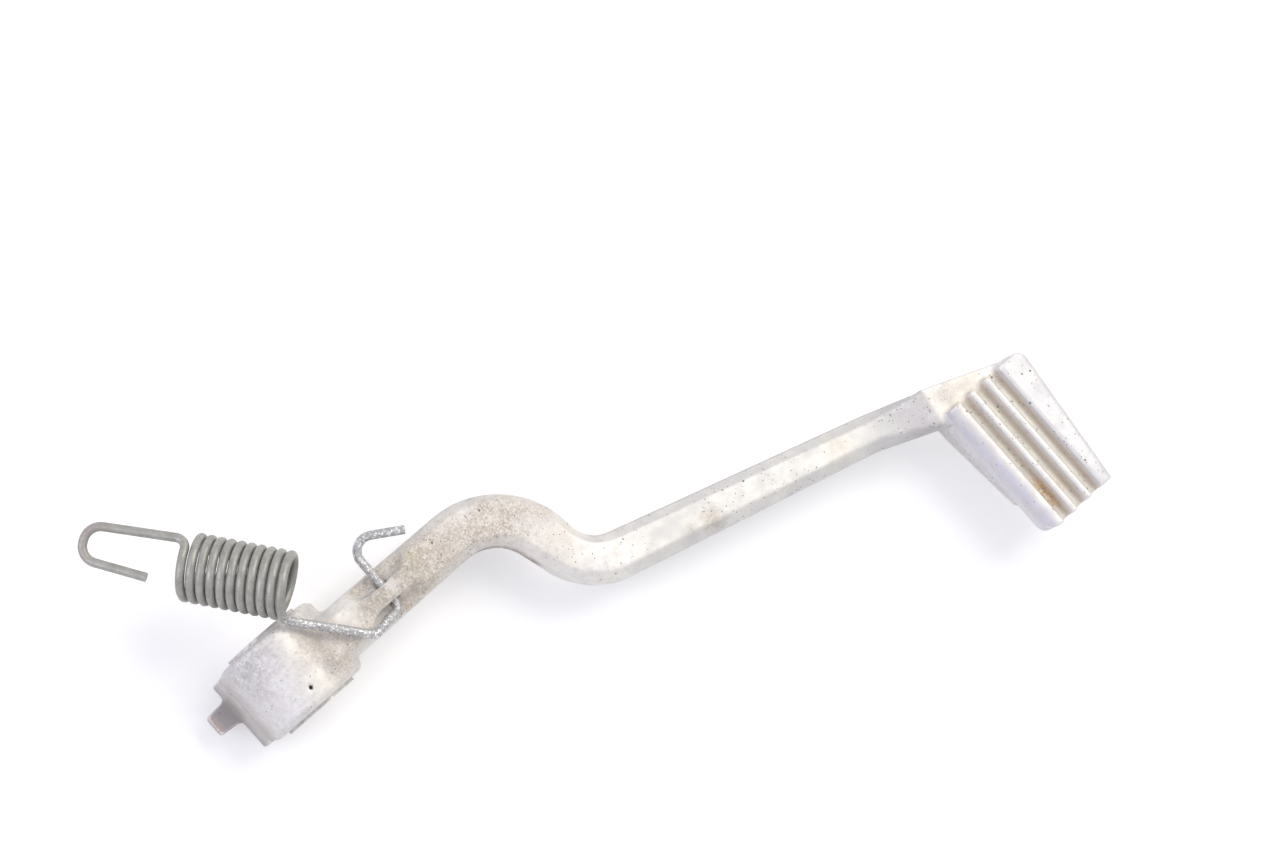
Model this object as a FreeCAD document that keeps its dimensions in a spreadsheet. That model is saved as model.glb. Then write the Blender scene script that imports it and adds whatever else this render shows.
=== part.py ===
import FreeCAD, Part
import math
import os

import Sketcher
from FreeCAD import Placement, Rotation, Vector

# Brake pedal: one forged aluminium lever with two flanged bushes in its hub, and the return spring
# hooked through the lever. Millimetres. The origin is the centre of the pivot bore, X points along
# the lever to the pad, Y along the bore to the machine, Z up from the parting plane of the forging.

os.makedirs("parts", exist_ok=True)
doc = FreeCAD.newDocument("brake_pedal")

# Named sizes
SIZES = {
    "hub_radius": 18.0,
    "hub_length": 27.6,
    "hub_rim_round": 2.2,
    "bore_radius": 10.0,
    "bush_bore_radius": 8.0,
    "bush_length": 11.0,
    "bush_flange_radius": 13.0,
    "bush_flange_thickness": 1.0,
    "oil_hole_radius": 0.8,
    "oil_hole_x": -1.3,
    "oil_hole_y": -7.9,
    "flash_thickness": 0.9,
    "flash_reach": 1.1,
    "flash_side_inset": 1.2,
    "stop_block_depth": 20.4,
    "stop_block_rim_depth": 19.4,
    "stop_block_top": -1.2,
    "stop_block_inset": 1.1,
    "tang_reach": 28.4,
    "tang_top": -8.0,
    "tang_thickness": 5.0,
    "tang_centre_y": 2.8,
    "tang_root_width": 9.3,
    "tang_tip_width": 7.1,
    "arm_start_x": 8.0,
    "arm_line_y": -1.4,
    "first_bend_x": 66.0,
    "first_bend_radius": 23.5,
    "first_bend_angle": 78.5,
    "middle_length": 6.0,
    "second_bend_radius": 19.5,
    "second_bend_angle": 63.0,
    "shank_length": 94.3,
    "crest_x": 215.6,
    "crest_y": -73.8,
    "root_half_width": 9.1,
    "first_bend_half_width": 8.7,
    "second_bend_half_width": 8.1,
    "shank_half_width": 6.6,
    "crest_half_width": 7.6,
    "root_half_height": 14.4,
    "waist_x": 58.0,
    "waist_half_height": 7.6,
    "bend_half_height": 7.0,
    "shank_half_height": 6.0,
    "crest_height": 8.5,
    "flank_inset": 0.6,
    "crown_run": 3.4,
    "crown_drop": 3.2,
    "crest_crown": 1.2,
    "spring_hole_x": 38.2,
    "spring_hole_z": 7.0,
    "scoop_radius": 6.0,
    "scoop_rise": 2.6,
    "scoop_wall": 3.6,
    "scoop_half_length": 6.0,
    "plate_bottom": 2.0,
    "plate_rear_x": 216.5,
    "plate_front_x": 250.6,
    "plate_front_taper": 5.9,
    "plate_inboard_y": -77.0,
    "plate_outboard_y": -129.7,
    "web_front_x": 243.5,
    "plate_corner_round": 4.0,
    "front_corner_round": 6.5,
    "rib_height": 5.0,
    "rib_flank_inset": 1.05,
    "rib_top_width": 2.0,
    "rib_pitch": 6.8,
    "rib_inboard_inset": 0.6,
    "rear_rib_round": 3.4,
    "rear_rib_top_width": 1.4,
    "second_rib_offset": 8.4,
    "front_rib_round": 2.6,
    "gusset_depth": 5.5,
    "gusset_width": 9.0,
    "gusset_end_y": -116.0,
    "runout_length": 20.0,
    "wire_radius": 1.5,
    "wire_sides": 8,
    "wire_clearance": 0.5,
    "coil_mean_radius": 9.6,
    "coil_pitch": 3.2,
    "coil_turn_count": 10.25,
    "coil_start_angle": 343.0,
    "coil_end_x": 13.74,
    "coil_end_y": 19.51,
    "coil_end_z": 21.88,
    "coil_heading_angle": -54.52,
    "coil_rise_angle": 16.62,
    "wire_bend_radius": 3.4,
    "far_leg_offset": 4.4,
    "far_hook_bend_radius": 5.3,
    "far_hook_top_x": -14.7,
    "far_hook_top_y": 29.6,
    "far_hook_top_z": 1.1,
    "far_hook_low_x": -23.5,
    "far_hook_low_y": 23.7,
    "far_hook_low_z": -0.4,
    "far_hook_tip_x": -12.4,
    "far_hook_tip_y": 5.4,
    "far_hook_tip_z": 4.3,
    "near_leg_offset": 4.2,
    "rest_bend_x": 25.2,
    "rest_bend_y": -9.0,
    "rest_bend_z": 13.9,
    "hole_bend_y": -7.4,
    "near_hook_bend_radius": 5.0,
    "near_hook_corner_y": 20.4,
    "near_hook_tip_x": 54.4,
    "near_hook_tip_y": 10.0,
    "near_hook_tip_z": 12.0,
}

sheet = doc.addObject("Spreadsheet::Sheet", "Sizes")
for row, (alias, number) in enumerate(SIZES.items(), start=1):
    sheet.set("A%d" % row, alias)
    sheet.set("B%d" % row, str(number))
    sheet.setAlias("B%d" % row, alias)
doc.recompute()


def size(alias):
    return float(getattr(sheet, alias))


# Helpers for bodies, sketches and features
def new_body(name):
    body = doc.addObject("PartDesign::Body", name)
    body.Label = name
    return body


def origin_plane(body, role):
    for feature in body.Origin.OriginFeatures:
        if feature.Role == role:
            return feature
    raise ValueError(role)


def new_sketch(body, name, role, offset=None):
    sketch = body.newObject("Sketcher::SketchObject", name)
    sketch.AttachmentSupport = [(origin_plane(body, role), "")]
    sketch.MapMode = "FlatFace"
    if offset is not None:
        sketch.AttachmentOffset = offset
    return sketch


def pin(sketch, geometry, point, texts):
    """Holds one sketch point at the two coordinates given as expressions."""
    for kind, axis, text in (("DistanceX", -2, texts[0]), ("DistanceY", -1, texts[1])):
        value = float(sheet.evalExpression(text))
        if abs(value) < 1e-9:
            sketch.addConstraint(Sketcher.Constraint("PointOnObject", geometry, point, axis))
            continue
        number = sketch.addConstraint(Sketcher.Constraint(kind, -1, 1, geometry, point, value))
        sketch.setExpression("Constraints[%d]" % number, text)


def outline(sketch, corners):
    """Closes a polygon through corners, each one a pair of expressions."""
    spots = []
    for across, up in corners:
        across_value = float(sheet.evalExpression(across))
        up_value = float(sheet.evalExpression(up))
        spots.append(Vector(across_value, up_value, 0))
    count = len(spots)
    for index in range(count):
        sketch.addGeometry(Part.LineSegment(spots[index], spots[(index + 1) % count]), False)
    for index in range(count):
        following = (index + 1) % count
        sketch.addConstraint(Sketcher.Constraint("Coincident", index, 2, following, 1))
    for index in range(count):
        pin(sketch, index, 1, corners[index])
    return sketch


def circle(sketch, radius, across="0", up="0"):
    """Draws a circle whose radius and centre are expressions."""
    spot = Vector(float(sheet.evalExpression(across)), float(sheet.evalExpression(up)), 0)
    value = float(sheet.evalExpression(radius))
    number = sketch.addGeometry(Part.Circle(spot, Vector(0, 0, 1), value), False)
    held = sketch.addConstraint(Sketcher.Constraint("Radius", number, value))
    sketch.setExpression("Constraints[%d]" % held, radius)
    pin(sketch, number, 3, (across, up))
    return sketch


def extrude(body, kind, name, sketch, length=None, side="One side", reverse=False):
    """Pad or Pocket; a Pocket without a length goes right through."""
    feature = body.newObject("PartDesign::" + kind, name)
    feature.Profile = sketch
    feature.SideType = side
    feature.Reversed = reverse
    if length is None:
        feature.Type = "ThroughAll"
    else:
        feature.setExpression("Length", length)
    doc.recompute()
    return feature


def must_change(body, before, what):
    """Stops the build when a feature left the volume as it was."""
    if abs(body.Shape.Volume - before) < 0.01:
        raise RuntimeError(what + " changed nothing")


def round_edges(body, name, chosen, radius):
    """Fillets the edges of the body that chosen() accepts."""
    tip = body.Tip
    numbers = [i for i, edge in enumerate(tip.Shape.Edges, start=1) if chosen(edge)]
    if not numbers:
        raise RuntimeError("no edge for " + name)
    fillet = body.newObject("PartDesign::Fillet", name)
    fillet.Base = (tip, ["Edge%d" % i for i in numbers])
    fillet.setExpression("Radius", radius)
    doc.recompute()
    return fillet


def middle(edge):
    return edge.valueAt((edge.FirstParameter + edge.LastParameter) / 2)


# The lever: hub
lever = new_body("brake_lever")
hub_sketch = circle(new_sketch(lever, "hub_sketch", "XZ_Plane"), "Sizes.hub_radius")
extrude(lever, "Pad", "hub", hub_sketch, "Sizes.hub_length", side="Symmetric")


def on_hub_rim(edge):
    is_round = isinstance(edge.Curve, Part.Circle)
    return is_round and abs(edge.Curve.Radius - size("hub_radius")) < 1e-6


round_edges(lever, "hub_rim_rounding", on_hub_rim, "Sizes.hub_rim_round")

# The lever: stop block behind the hub, and the tang that stands out of it. One level face under
# both meets the machine's stop.
STOP_LEVEL = "Sizes.tang_top - Sizes.tang_thickness"
block_sketch = outline(
    new_sketch(lever, "stop_block_sketch", "XZ_Plane"),
    [
        ("-Sizes.stop_block_rim_depth", "Sizes.stop_block_top"),
        ("-Sizes.stop_block_depth", STOP_LEVEL),
        ("-Sizes.bore_radius", STOP_LEVEL),
        ("-Sizes.bore_radius", "Sizes.stop_block_top"),
    ],
)
extrude(
    lever, "Pad", "stop_block", block_sketch,
    "Sizes.hub_length - 2 * Sizes.stop_block_inset", side="Symmetric",
)
tang_offset = Placement(Vector(0, 0, size("tang_top")), Rotation())
tang_sketch = new_sketch(lever, "tang_sketch", "XY_Plane", tang_offset)
tang_sketch.setExpression("AttachmentOffset.Base.z", "Sizes.tang_top")
tang_root = "-Sizes.stop_block_rim_depth + 2"
outline(
    tang_sketch,
    [
        (tang_root, "Sizes.tang_centre_y - Sizes.tang_root_width / 2"),
        (tang_root, "Sizes.tang_centre_y + Sizes.tang_root_width / 2"),
        ("-Sizes.tang_reach", "Sizes.tang_centre_y + Sizes.tang_tip_width / 2"),
        ("-Sizes.tang_reach", "Sizes.tang_centre_y - Sizes.tang_tip_width / 2"),
    ],
)
extrude(lever, "Pad", "tang", tang_sketch, "Sizes.tang_thickness", reverse=True)

# The lever: thin rim of flash left along the parting plane of the hub
flash_sketch = outline(
    new_sketch(lever, "flash_sketch", "XY_Plane"),
    [
        ("-Sizes.hub_radius - Sizes.flash_reach / 2", "-Sizes.hub_length / 2 + Sizes.flash_side_inset"),
        ("Sizes.hub_radius + Sizes.flash_reach / 2", "-Sizes.hub_length / 2 + Sizes.flash_side_inset"),
        ("Sizes.hub_radius + Sizes.flash_reach", "0"),
        ("Sizes.hub_radius + Sizes.flash_reach", "Sizes.hub_length / 2 - Sizes.flash_side_inset"),
        ("-Sizes.hub_radius - Sizes.flash_reach / 2", "Sizes.hub_length / 2 - Sizes.flash_side_inset"),
    ],
)
extrude(lever, "Pad", "flash", flash_sketch, "Sizes.flash_thickness", side="Symmetric")


# The lever: stations of the arm. Each station is a ten-sided section square to the arm's line.
def station(x, y, heading):
    """Offset of a section sketch on the YZ plane, at x and y, turned by heading degrees."""
    return Placement(Vector(y, 0, x), Rotation(Vector(0, 1, 0), heading))


def section(name, place, shift, half_width, top, bottom, run, drop):
    sketch = new_sketch(lever, name, "YZ_Plane", place)
    side = half_width + " - Sizes.flank_inset"
    crown = half_width + " - " + run
    rise = top + " - " + drop
    fall = "-" + bottom + " + " + drop
    corners = [
        (shift + " + " + half_width, "0"),
        (shift + " + " + side, rise),
        (shift + " + " + crown, top),
        (shift + " - (" + crown + ")", top),
        (shift + " - (" + side + ")", rise),
        (shift + " - " + half_width, "0"),
        (shift + " - (" + side + ")", fall),
        (shift + " - (" + crown + ")", "-" + bottom),
        (shift + " + " + crown, "-" + bottom),
        (shift + " + " + side, fall),
    ]
    return outline(sketch, corners)


def loft(name, first, second):
    feature = lever.newObject("PartDesign::AdditiveLoft", name)
    feature.Profile = first
    feature.Sections = [second]
    feature.Ruled = True
    doc.recompute()
    return feature


def bend(name, profile, angle, reverse):
    feature = lever.newObject("PartDesign::Revolution", name)
    feature.Profile = profile
    feature.ReferenceAxis = (profile, ["V_Axis"])
    feature.setExpression("Angle", angle)
    feature.Reversed = reverse
    doc.recompute()
    return feature


line_y = size("arm_line_y")
first_angle = math.radians(size("first_bend_angle"))
second_angle = first_angle - math.radians(size("second_bend_angle"))
first_radius = size("first_bend_radius")
second_radius = size("second_bend_radius")
first_centre = Vector(size("first_bend_x"), line_y - first_radius, 0)
middle_start = first_centre + Vector(math.sin(first_angle), math.cos(first_angle), 0) * first_radius
middle_way = Vector(math.cos(first_angle), -math.sin(first_angle), 0)
middle_end = middle_start + middle_way * size("middle_length")
second_centre = middle_end + Vector(math.sin(first_angle), math.cos(first_angle), 0) * second_radius
shank_start = second_centre - Vector(math.sin(second_angle), math.cos(second_angle), 0) * second_radius
shank_way = Vector(math.cos(second_angle), -math.sin(second_angle), 0)
shank_end = shank_start + shank_way * size("shank_length")
first_turn = -math.degrees(first_angle)
second_turn = -math.degrees(second_angle)

crown = ("Sizes.crown_run", "Sizes.crown_drop")
bend_height = ("Sizes.bend_half_height", "Sizes.bend_half_height")
root_station = section(
    "arm_root_station", station(size("arm_start_x"), line_y, 0), "0",
    "Sizes.root_half_width", "Sizes.root_half_height", "Sizes.root_half_height", *crown,
)
waist_station = section(
    "arm_waist_station", station(size("waist_x"), line_y, 0), "0",
    "Sizes.first_bend_half_width", "Sizes.waist_half_height", "Sizes.waist_half_height", *crown,
)
first_bend_station = section(
    "first_bend_station", station(first_centre.x, first_centre.y, 0), "Sizes.first_bend_radius",
    "Sizes.first_bend_half_width", *bend_height, *crown,
)
middle_station = section(
    "middle_station", station(first_centre.x, first_centre.y, first_turn), "Sizes.first_bend_radius",
    "Sizes.first_bend_half_width", *bend_height, *crown,
)
second_bend_station = section(
    "second_bend_station", station(second_centre.x, second_centre.y, first_turn),
    "-Sizes.second_bend_radius", "Sizes.second_bend_half_width", *bend_height, *crown,
)
shank_station = section(
    "shank_station", station(second_centre.x, second_centre.y, second_turn),
    "-Sizes.second_bend_radius", "Sizes.second_bend_half_width", *bend_height, *crown,
)
neck_station = section(
    "neck_station", station(shank_end.x, shank_end.y, second_turn), "0",
    "Sizes.shank_half_width", "Sizes.shank_half_height", "Sizes.shank_half_height", *crown,
)
crest_station = section(
    "crest_station", station(size("crest_x"), size("crest_y"), 0), "0",
    "Sizes.crest_half_width", "Sizes.crest_height", "Sizes.shank_half_height",
    "Sizes.crest_crown", "Sizes.crest_crown",
)
loft("arm_root", root_station, waist_station)
loft("arm_waist", waist_station, first_bend_station)
bend("first_bend", first_bend_station, "Sizes.first_bend_angle", True)
loft("arm_middle", middle_station, second_bend_station)
bend("second_bend", second_bend_station, "Sizes.second_bend_angle", False)
loft("arm_shank", shank_station, neck_station)
loft("arm_neck", neck_station, crest_station)

# The lever: web and plate under the pad, with the gusset that carries it
plate_offset = Placement(Vector(0, 0, size("plate_bottom")), Rotation())
plate_sketch = new_sketch(lever, "plate_sketch", "XY_Plane", plate_offset)
plate_sketch.setExpression("AttachmentOffset.Base.z", "Sizes.plate_bottom")
web_inner_y = "Sizes.crest_y + Sizes.crest_half_width"
outline(
    plate_sketch,
    [
        ("Sizes.crest_x", web_inner_y),
        ("Sizes.web_front_x", "Sizes.plate_inboard_y"),
        ("Sizes.plate_front_x", "Sizes.plate_inboard_y"),
        ("Sizes.plate_front_x - Sizes.plate_front_taper", "Sizes.plate_outboard_y"),
        ("Sizes.plate_rear_x", "Sizes.plate_outboard_y"),
        ("Sizes.plate_rear_x", "Sizes.crest_y - Sizes.crest_half_width"),
        ("Sizes.crest_x", "Sizes.crest_y - Sizes.crest_half_width"),
    ],
)
extrude(lever, "Pad", "plate", plate_sketch, "Sizes.crest_height - Sizes.plate_bottom")

gusset_offset = Placement(Vector(0, 0, size("crest_x")), Rotation())
gusset_sketch = new_sketch(lever, "gusset_sketch", "YZ_Plane", gusset_offset)
gusset_sketch.setExpression("AttachmentOffset.Base.z", "Sizes.crest_x")
outline(
    gusset_sketch,
    [
        ("Sizes.crest_y + Sizes.crest_half_width - 1", "Sizes.plate_bottom + 0.5"),
        ("Sizes.crest_y + Sizes.crest_half_width - 1.5", "-Sizes.gusset_depth"),
        ("Sizes.crest_y - Sizes.crest_half_width - 3", "-Sizes.gusset_depth"),
        ("Sizes.gusset_end_y", "Sizes.plate_bottom"),
        ("Sizes.gusset_end_y", "Sizes.plate_bottom + 0.5"),
    ],
)
extrude(lever, "Pad", "gusset", gusset_sketch, "Sizes.gusset_width")

runout_offset = Placement(Vector(0, 0, -size("crest_y")), Rotation())
runout_sketch = new_sketch(lever, "runout_sketch", "XZ_Plane", runout_offset)
runout_sketch.setExpression("AttachmentOffset.Base.z", "-Sizes.crest_y")
outline(
    runout_sketch,
    [
        ("Sizes.crest_x", "-Sizes.gusset_depth"),
        ("Sizes.crest_x + Sizes.gusset_width", "-Sizes.gusset_depth"),
        ("Sizes.crest_x + Sizes.runout_length", "Sizes.plate_bottom + 0.5"),
        ("Sizes.crest_x", "Sizes.plate_bottom + 0.5"),
    ],
)
extrude(
    lever, "Pad", "runout", runout_sketch,
    "2 * Sizes.crest_half_width - 5", side="Symmetric",
)


# The lever: grip ribs of the pad, drawn across the pad and run along it
def rib_sketch(name, corners):
    start = -size("plate_outboard_y")
    sketch = new_sketch(lever, name, "XZ_Plane", Placement(Vector(0, 0, start), Rotation()))
    sketch.setExpression("AttachmentOffset.Base.z", "-Sizes.plate_outboard_y")
    return outline(sketch, corners)


RIB_TOP = "Sizes.crest_height + Sizes.rib_height"
RIB_FOOT = "Sizes.crest_height - 1"
RIB_LENGTH = "Sizes.plate_inboard_y - Sizes.rib_inboard_inset - Sizes.plate_outboard_y"


def rear_rib_corners(steps=6):
    """Rear rib: its back is a quarter round from the plate's edge up to the rib's top."""
    corners = [("Sizes.plate_rear_x", RIB_FOOT)]
    for step in range(steps + 1):
        angle = math.radians(90.0 * step / steps)
        back = "Sizes.plate_rear_x + Sizes.rear_rib_round * %.6f" % (1 - math.cos(angle))
        rise = RIB_TOP + " - Sizes.rear_rib_round * %.6f" % (1 - math.sin(angle))
        corners.append((back, rise))
    top_end = "Sizes.plate_rear_x + Sizes.rear_rib_round + Sizes.rear_rib_top_width"
    corners.append((top_end, RIB_TOP))
    corners.append((top_end + " + Sizes.rib_flank_inset * 1.2", RIB_FOOT))
    return corners


rear_rib = rib_sketch("rear_rib_sketch", rear_rib_corners())
extrude(lever, "Pad", "rear_rib", rear_rib, RIB_LENGTH, reverse=True)
second_foot = "Sizes.plate_rear_x + Sizes.second_rib_offset"
middle_rib_sketch = rib_sketch(
    "middle_rib_sketch",
    [
        (second_foot + " - Sizes.rib_flank_inset * 0.2", RIB_FOOT),
        (second_foot + " + Sizes.rib_flank_inset", RIB_TOP),
        (second_foot + " + Sizes.rib_flank_inset + Sizes.rib_top_width", RIB_TOP),
        (second_foot + " + 2.2 * Sizes.rib_flank_inset + Sizes.rib_top_width", RIB_FOOT),
    ],
)
middle_rib = extrude(lever, "Pad", "middle_rib", middle_rib_sketch, RIB_LENGTH, reverse=True)
rib_row = lever.newObject("PartDesign::LinearPattern", "rib_row")
rib_row.Originals = [middle_rib]
rib_row.Direction = (middle_rib_sketch, ["H_Axis"])
rib_row.Occurrences = 2
rib_row.setExpression("Length", "Sizes.rib_pitch")
lever.Tip = rib_row
doc.recompute()
front_foot = "Sizes.plate_rear_x + Sizes.second_rib_offset + 2 * Sizes.rib_pitch"
front_rib_sketch = rib_sketch(
    "front_rib_sketch",
    [
        (front_foot + " - Sizes.rib_flank_inset * 0.2", RIB_FOOT),
        (front_foot + " + Sizes.rib_flank_inset", RIB_TOP),
        ("Sizes.plate_front_x", RIB_TOP),
        ("Sizes.plate_front_x", RIB_FOOT),
    ],
)
extrude(lever, "Pad", "front_rib", front_rib_sketch, RIB_LENGTH, reverse=True)

# The lever: the front rib is trimmed to the slanted front edge of the plate
trim_sketch = outline(
    new_sketch(lever, "front_trim_sketch", "XY_Plane"),
    [
        ("Sizes.plate_front_x", "Sizes.plate_inboard_y"),
        ("Sizes.plate_front_x + 10", "Sizes.plate_inboard_y"),
        ("Sizes.plate_front_x + 10", "Sizes.plate_outboard_y - 10"),
        (
            "Sizes.plate_front_x - Sizes.plate_front_taper * (1 + 10"
            " / (Sizes.plate_inboard_y - Sizes.plate_outboard_y))",
            "Sizes.plate_outboard_y - 10",
        ),
    ],
)
volume = lever.Shape.Volume
extrude(lever, "Pocket", "front_trim", trim_sketch, side="Symmetric")
must_change(lever, volume, "front_trim")


def upright_at(x, y, reach):
    """Picks upright edges within reach of x and y."""
    def chosen(edge):
        spot = middle(edge)
        box = edge.BoundBox
        upright = box.XLength < 1e-3 and box.YLength < 1e-3
        return upright and math.hypot(spot.x - x, spot.y - y) < reach
    return chosen


round_edges(
    lever, "plate_corner_rounding",
    upright_at(size("plate_rear_x"), size("plate_outboard_y"), 0.1),
    "Sizes.plate_corner_round",
)


def on_front_top(edge):
    box = edge.BoundBox
    top = size("crest_height") + size("rib_height")
    long_enough = box.YLength > (size("plate_inboard_y") - size("plate_outboard_y")) / 2
    return long_enough and abs(box.ZMin - top) < 1e-3 and box.XMax > size("plate_front_x") - 1


round_edges(lever, "front_rib_rounding", on_front_top, "Sizes.front_rib_round")

# The lever: the pad's inboard front corner is cut to a quarter round, plate and rib together
corner_sketch = new_sketch(lever, "front_corner_sketch", "XY_Plane")
corner_round = size("front_corner_round")
corner_side = size("plate_front_x")
corner_end = size("plate_inboard_y")
rest = 2
corner_spots = [
    Vector(corner_side, corner_end - corner_round, 0),
    Vector(corner_side + rest, corner_end - corner_round, 0),
    Vector(corner_side + rest, corner_end + rest, 0),
    Vector(corner_side - corner_round, corner_end + rest, 0),
    Vector(corner_side - corner_round, corner_end, 0),
]
for begin, end in zip(corner_spots, corner_spots[1:]):
    corner_sketch.addGeometry(Part.LineSegment(begin, end), False)
corner_centre = Vector(corner_side - corner_round, corner_end - corner_round, 0)
corner_circle = Part.Circle(corner_centre, Vector(0, 0, 1), corner_round)
corner_sketch.addGeometry(Part.ArcOfCircle(corner_circle, 0, math.pi / 2), False)
volume = lever.Shape.Volume
extrude(lever, "Pocket", "front_corner", corner_sketch, side="Symmetric")
must_change(lever, volume, "front_corner")

# The lever: bore, oil hole, spring hole and the scoops that open it to each side
bore_sketch = circle(new_sketch(lever, "bore_sketch", "XZ_Plane"), "Sizes.bore_radius")
volume = lever.Shape.Volume
extrude(lever, "Pocket", "pivot_bore", bore_sketch, side="Symmetric")
must_change(lever, volume, "pivot_bore")


def oil_hole(body, name):
    place = ("Sizes.oil_hole_radius", "Sizes.oil_hole_x", "Sizes.oil_hole_y")
    sketch = circle(new_sketch(body, name + "_sketch", "XY_Plane"), *place)
    before = body.Shape.Volume
    extrude(body, "Pocket", name, sketch, "Sizes.hub_radius + 5", reverse=True)
    must_change(body, before, name)


oil_hole(lever, "hub_oil_hole")
spring_hole_sketch = circle(
    new_sketch(lever, "spring_hole_sketch", "XZ_Plane"),
    "Sizes.wire_radius + Sizes.wire_clearance", "Sizes.spring_hole_x", "Sizes.spring_hole_z",
)
volume = lever.Shape.Volume
extrude(lever, "Pocket", "spring_hole", spring_hole_sketch, side="Symmetric")
must_change(lever, volume, "spring_hole")


def scoop(name, side):
    """Cuts a bath-shaped hollow beside the spine of the arm, with rounded ends."""
    reach = math.sqrt(size("scoop_radius") ** 2 - size("scoop_rise") ** 2)
    level = size("arm_line_y") + side * (size("scoop_wall") + reach)
    sketch = new_sketch(lever, name + "_sketch", "XZ_Plane", Placement(Vector(0, 0, -level), Rotation()))
    centre = Vector(size("spring_hole_x"), size("spring_hole_z") + size("scoop_rise"), 0)
    along = Vector(size("scoop_half_length"), 0, 0)
    across = Vector(0, size("scoop_radius"), 0)
    rear = centre - along
    front = centre + along
    low = Vector(0, 0, 1)
    radius = size("scoop_radius")
    sketch.addGeometry(Part.LineSegment(rear - Vector(radius, 0, 0), front + Vector(radius, 0, 0)), False)
    sketch.addGeometry(Part.ArcOfCircle(Part.Circle(front, low, radius), 0, math.pi / 2), False)
    sketch.addGeometry(Part.LineSegment(front + across, rear + across), False)
    sketch.addGeometry(Part.ArcOfCircle(Part.Circle(rear, low, radius), math.pi / 2, math.pi), False)
    for first, first_end, second, second_end in ((0, 2, 1, 1), (1, 2, 2, 1), (2, 2, 3, 1), (3, 2, 0, 1)):
        joined = Sketcher.Constraint("Coincident", first, first_end, second, second_end)
        sketch.addConstraint(joined)
    sketch.addGeometry(Part.LineSegment(rear, front), True)
    groove = lever.newObject("PartDesign::Groove", name)
    groove.Profile = sketch
    groove.ReferenceAxis = (sketch, ["Axis0"])
    groove.Angle = 360
    before = lever.Shape.Volume
    doc.recompute()
    must_change(lever, before, name)


scoop("outboard_scoop", -1)
scoop("inboard_scoop", 1)


# The two flanged bushes pressed in the hub
def flanged_bush(name, side):
    body = new_body(name)
    face = side + "Sizes.hub_length / 2"
    inner = side + "(Sizes.hub_length / 2 - Sizes.bush_length)"
    outer = side + "(Sizes.hub_length / 2 + Sizes.bush_flange_thickness)"
    sketch = outline(
        new_sketch(body, name + "_sketch", "XY_Plane"),
        [
            ("Sizes.bush_bore_radius", inner),
            ("Sizes.bore_radius", inner),
            ("Sizes.bore_radius", face),
            ("Sizes.bush_flange_radius", face),
            ("Sizes.bush_flange_radius", outer),
            ("Sizes.bush_bore_radius", outer),
        ],
    )
    turned = body.newObject("PartDesign::Revolution", name + "_turned")
    turned.Profile = sketch
    turned.ReferenceAxis = (sketch, ["V_Axis"])
    turned.Angle = 360
    doc.recompute()
    return body


flanged_bush("pivot_bush_inboard", "")
bush_outboard = flanged_bush("pivot_bush_outboard", "-")
oil_hole(bush_outboard, "bush_oil_hole")

# The return spring: one wire, followed from the far hook through the coil to the near hook
turn = math.radians(size("coil_rise_angle"))
heading = math.radians(size("coil_heading_angle"))
coil_axis = Vector(
    math.cos(turn) * math.cos(heading), math.cos(turn) * math.sin(heading), math.sin(turn)
)
coil_up = Vector(0, 0, 1) - coil_axis * coil_axis.z
coil_up.normalize()
coil_side = coil_axis.cross(coil_up)
coil_end = Vector(size("coil_end_x"), size("coil_end_y"), size("coil_end_z"))
coil_height = size("coil_pitch") * size("coil_turn_count")
coil_start = coil_end - coil_axis * coil_height
coil_angle = 360 * size("coil_turn_count")


def coil_spot(angle):
    """Point of the coil's centreline after angle degrees, and the wire's way there. The coil is a
    stack of half circles, each tilted to climb half a pitch, which meet without a kink."""
    half_turns = math.floor(angle / 180)
    begun = math.radians(180 * half_turns + size("coil_start_angle"))
    swept = math.radians(angle - 180 * half_turns)
    out = coil_up * math.cos(begun) + coil_side * math.sin(begun)
    centre = coil_start + coil_axis * (size("coil_pitch") * (half_turns + 0.5) / 2)
    arm = out * size("coil_mean_radius") - coil_axis * (size("coil_pitch") / 4)
    across = coil_axis.cross(out) * arm.Length
    spot = centre + arm * math.cos(swept) + across * math.sin(swept)
    way = across * math.cos(swept) - arm * math.sin(swept)
    way.normalize()
    return spot, way


def rounded_path(corners, radii):
    """Edges of a path through corners whose inner corners are rounded."""
    edges = []
    last = corners[0]
    for index, radius in enumerate(radii, start=1):
        corner = corners[index]
        back = (corners[index - 1] - corner).normalize()
        ahead = (corners[index + 1] - corner).normalize()
        half = back.getAngle(ahead) / 2
        reach = radius / math.tan(half)
        arc_start = corner + back * reach
        arc_end = corner + ahead * reach
        bisector = (back + ahead).normalize()
        crown_spot = corner + bisector * (radius / math.sin(half) - radius)
        if (arc_start - last).Length > 1e-4:
            edges.append(Part.LineSegment(last, arc_start).toShape())
        edges.append(Part.Arc(arc_start, crown_spot, arc_end).toShape())
        last = arc_end
    edges.append(Part.LineSegment(last, corners[-1]).toShape())
    return edges


def far_corner(name):
    """Corner of the far hook, measured from the far end of the coil."""
    return coil_start + Vector(size(name + "_x"), size(name + "_y"), size(name + "_z"))


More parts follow.
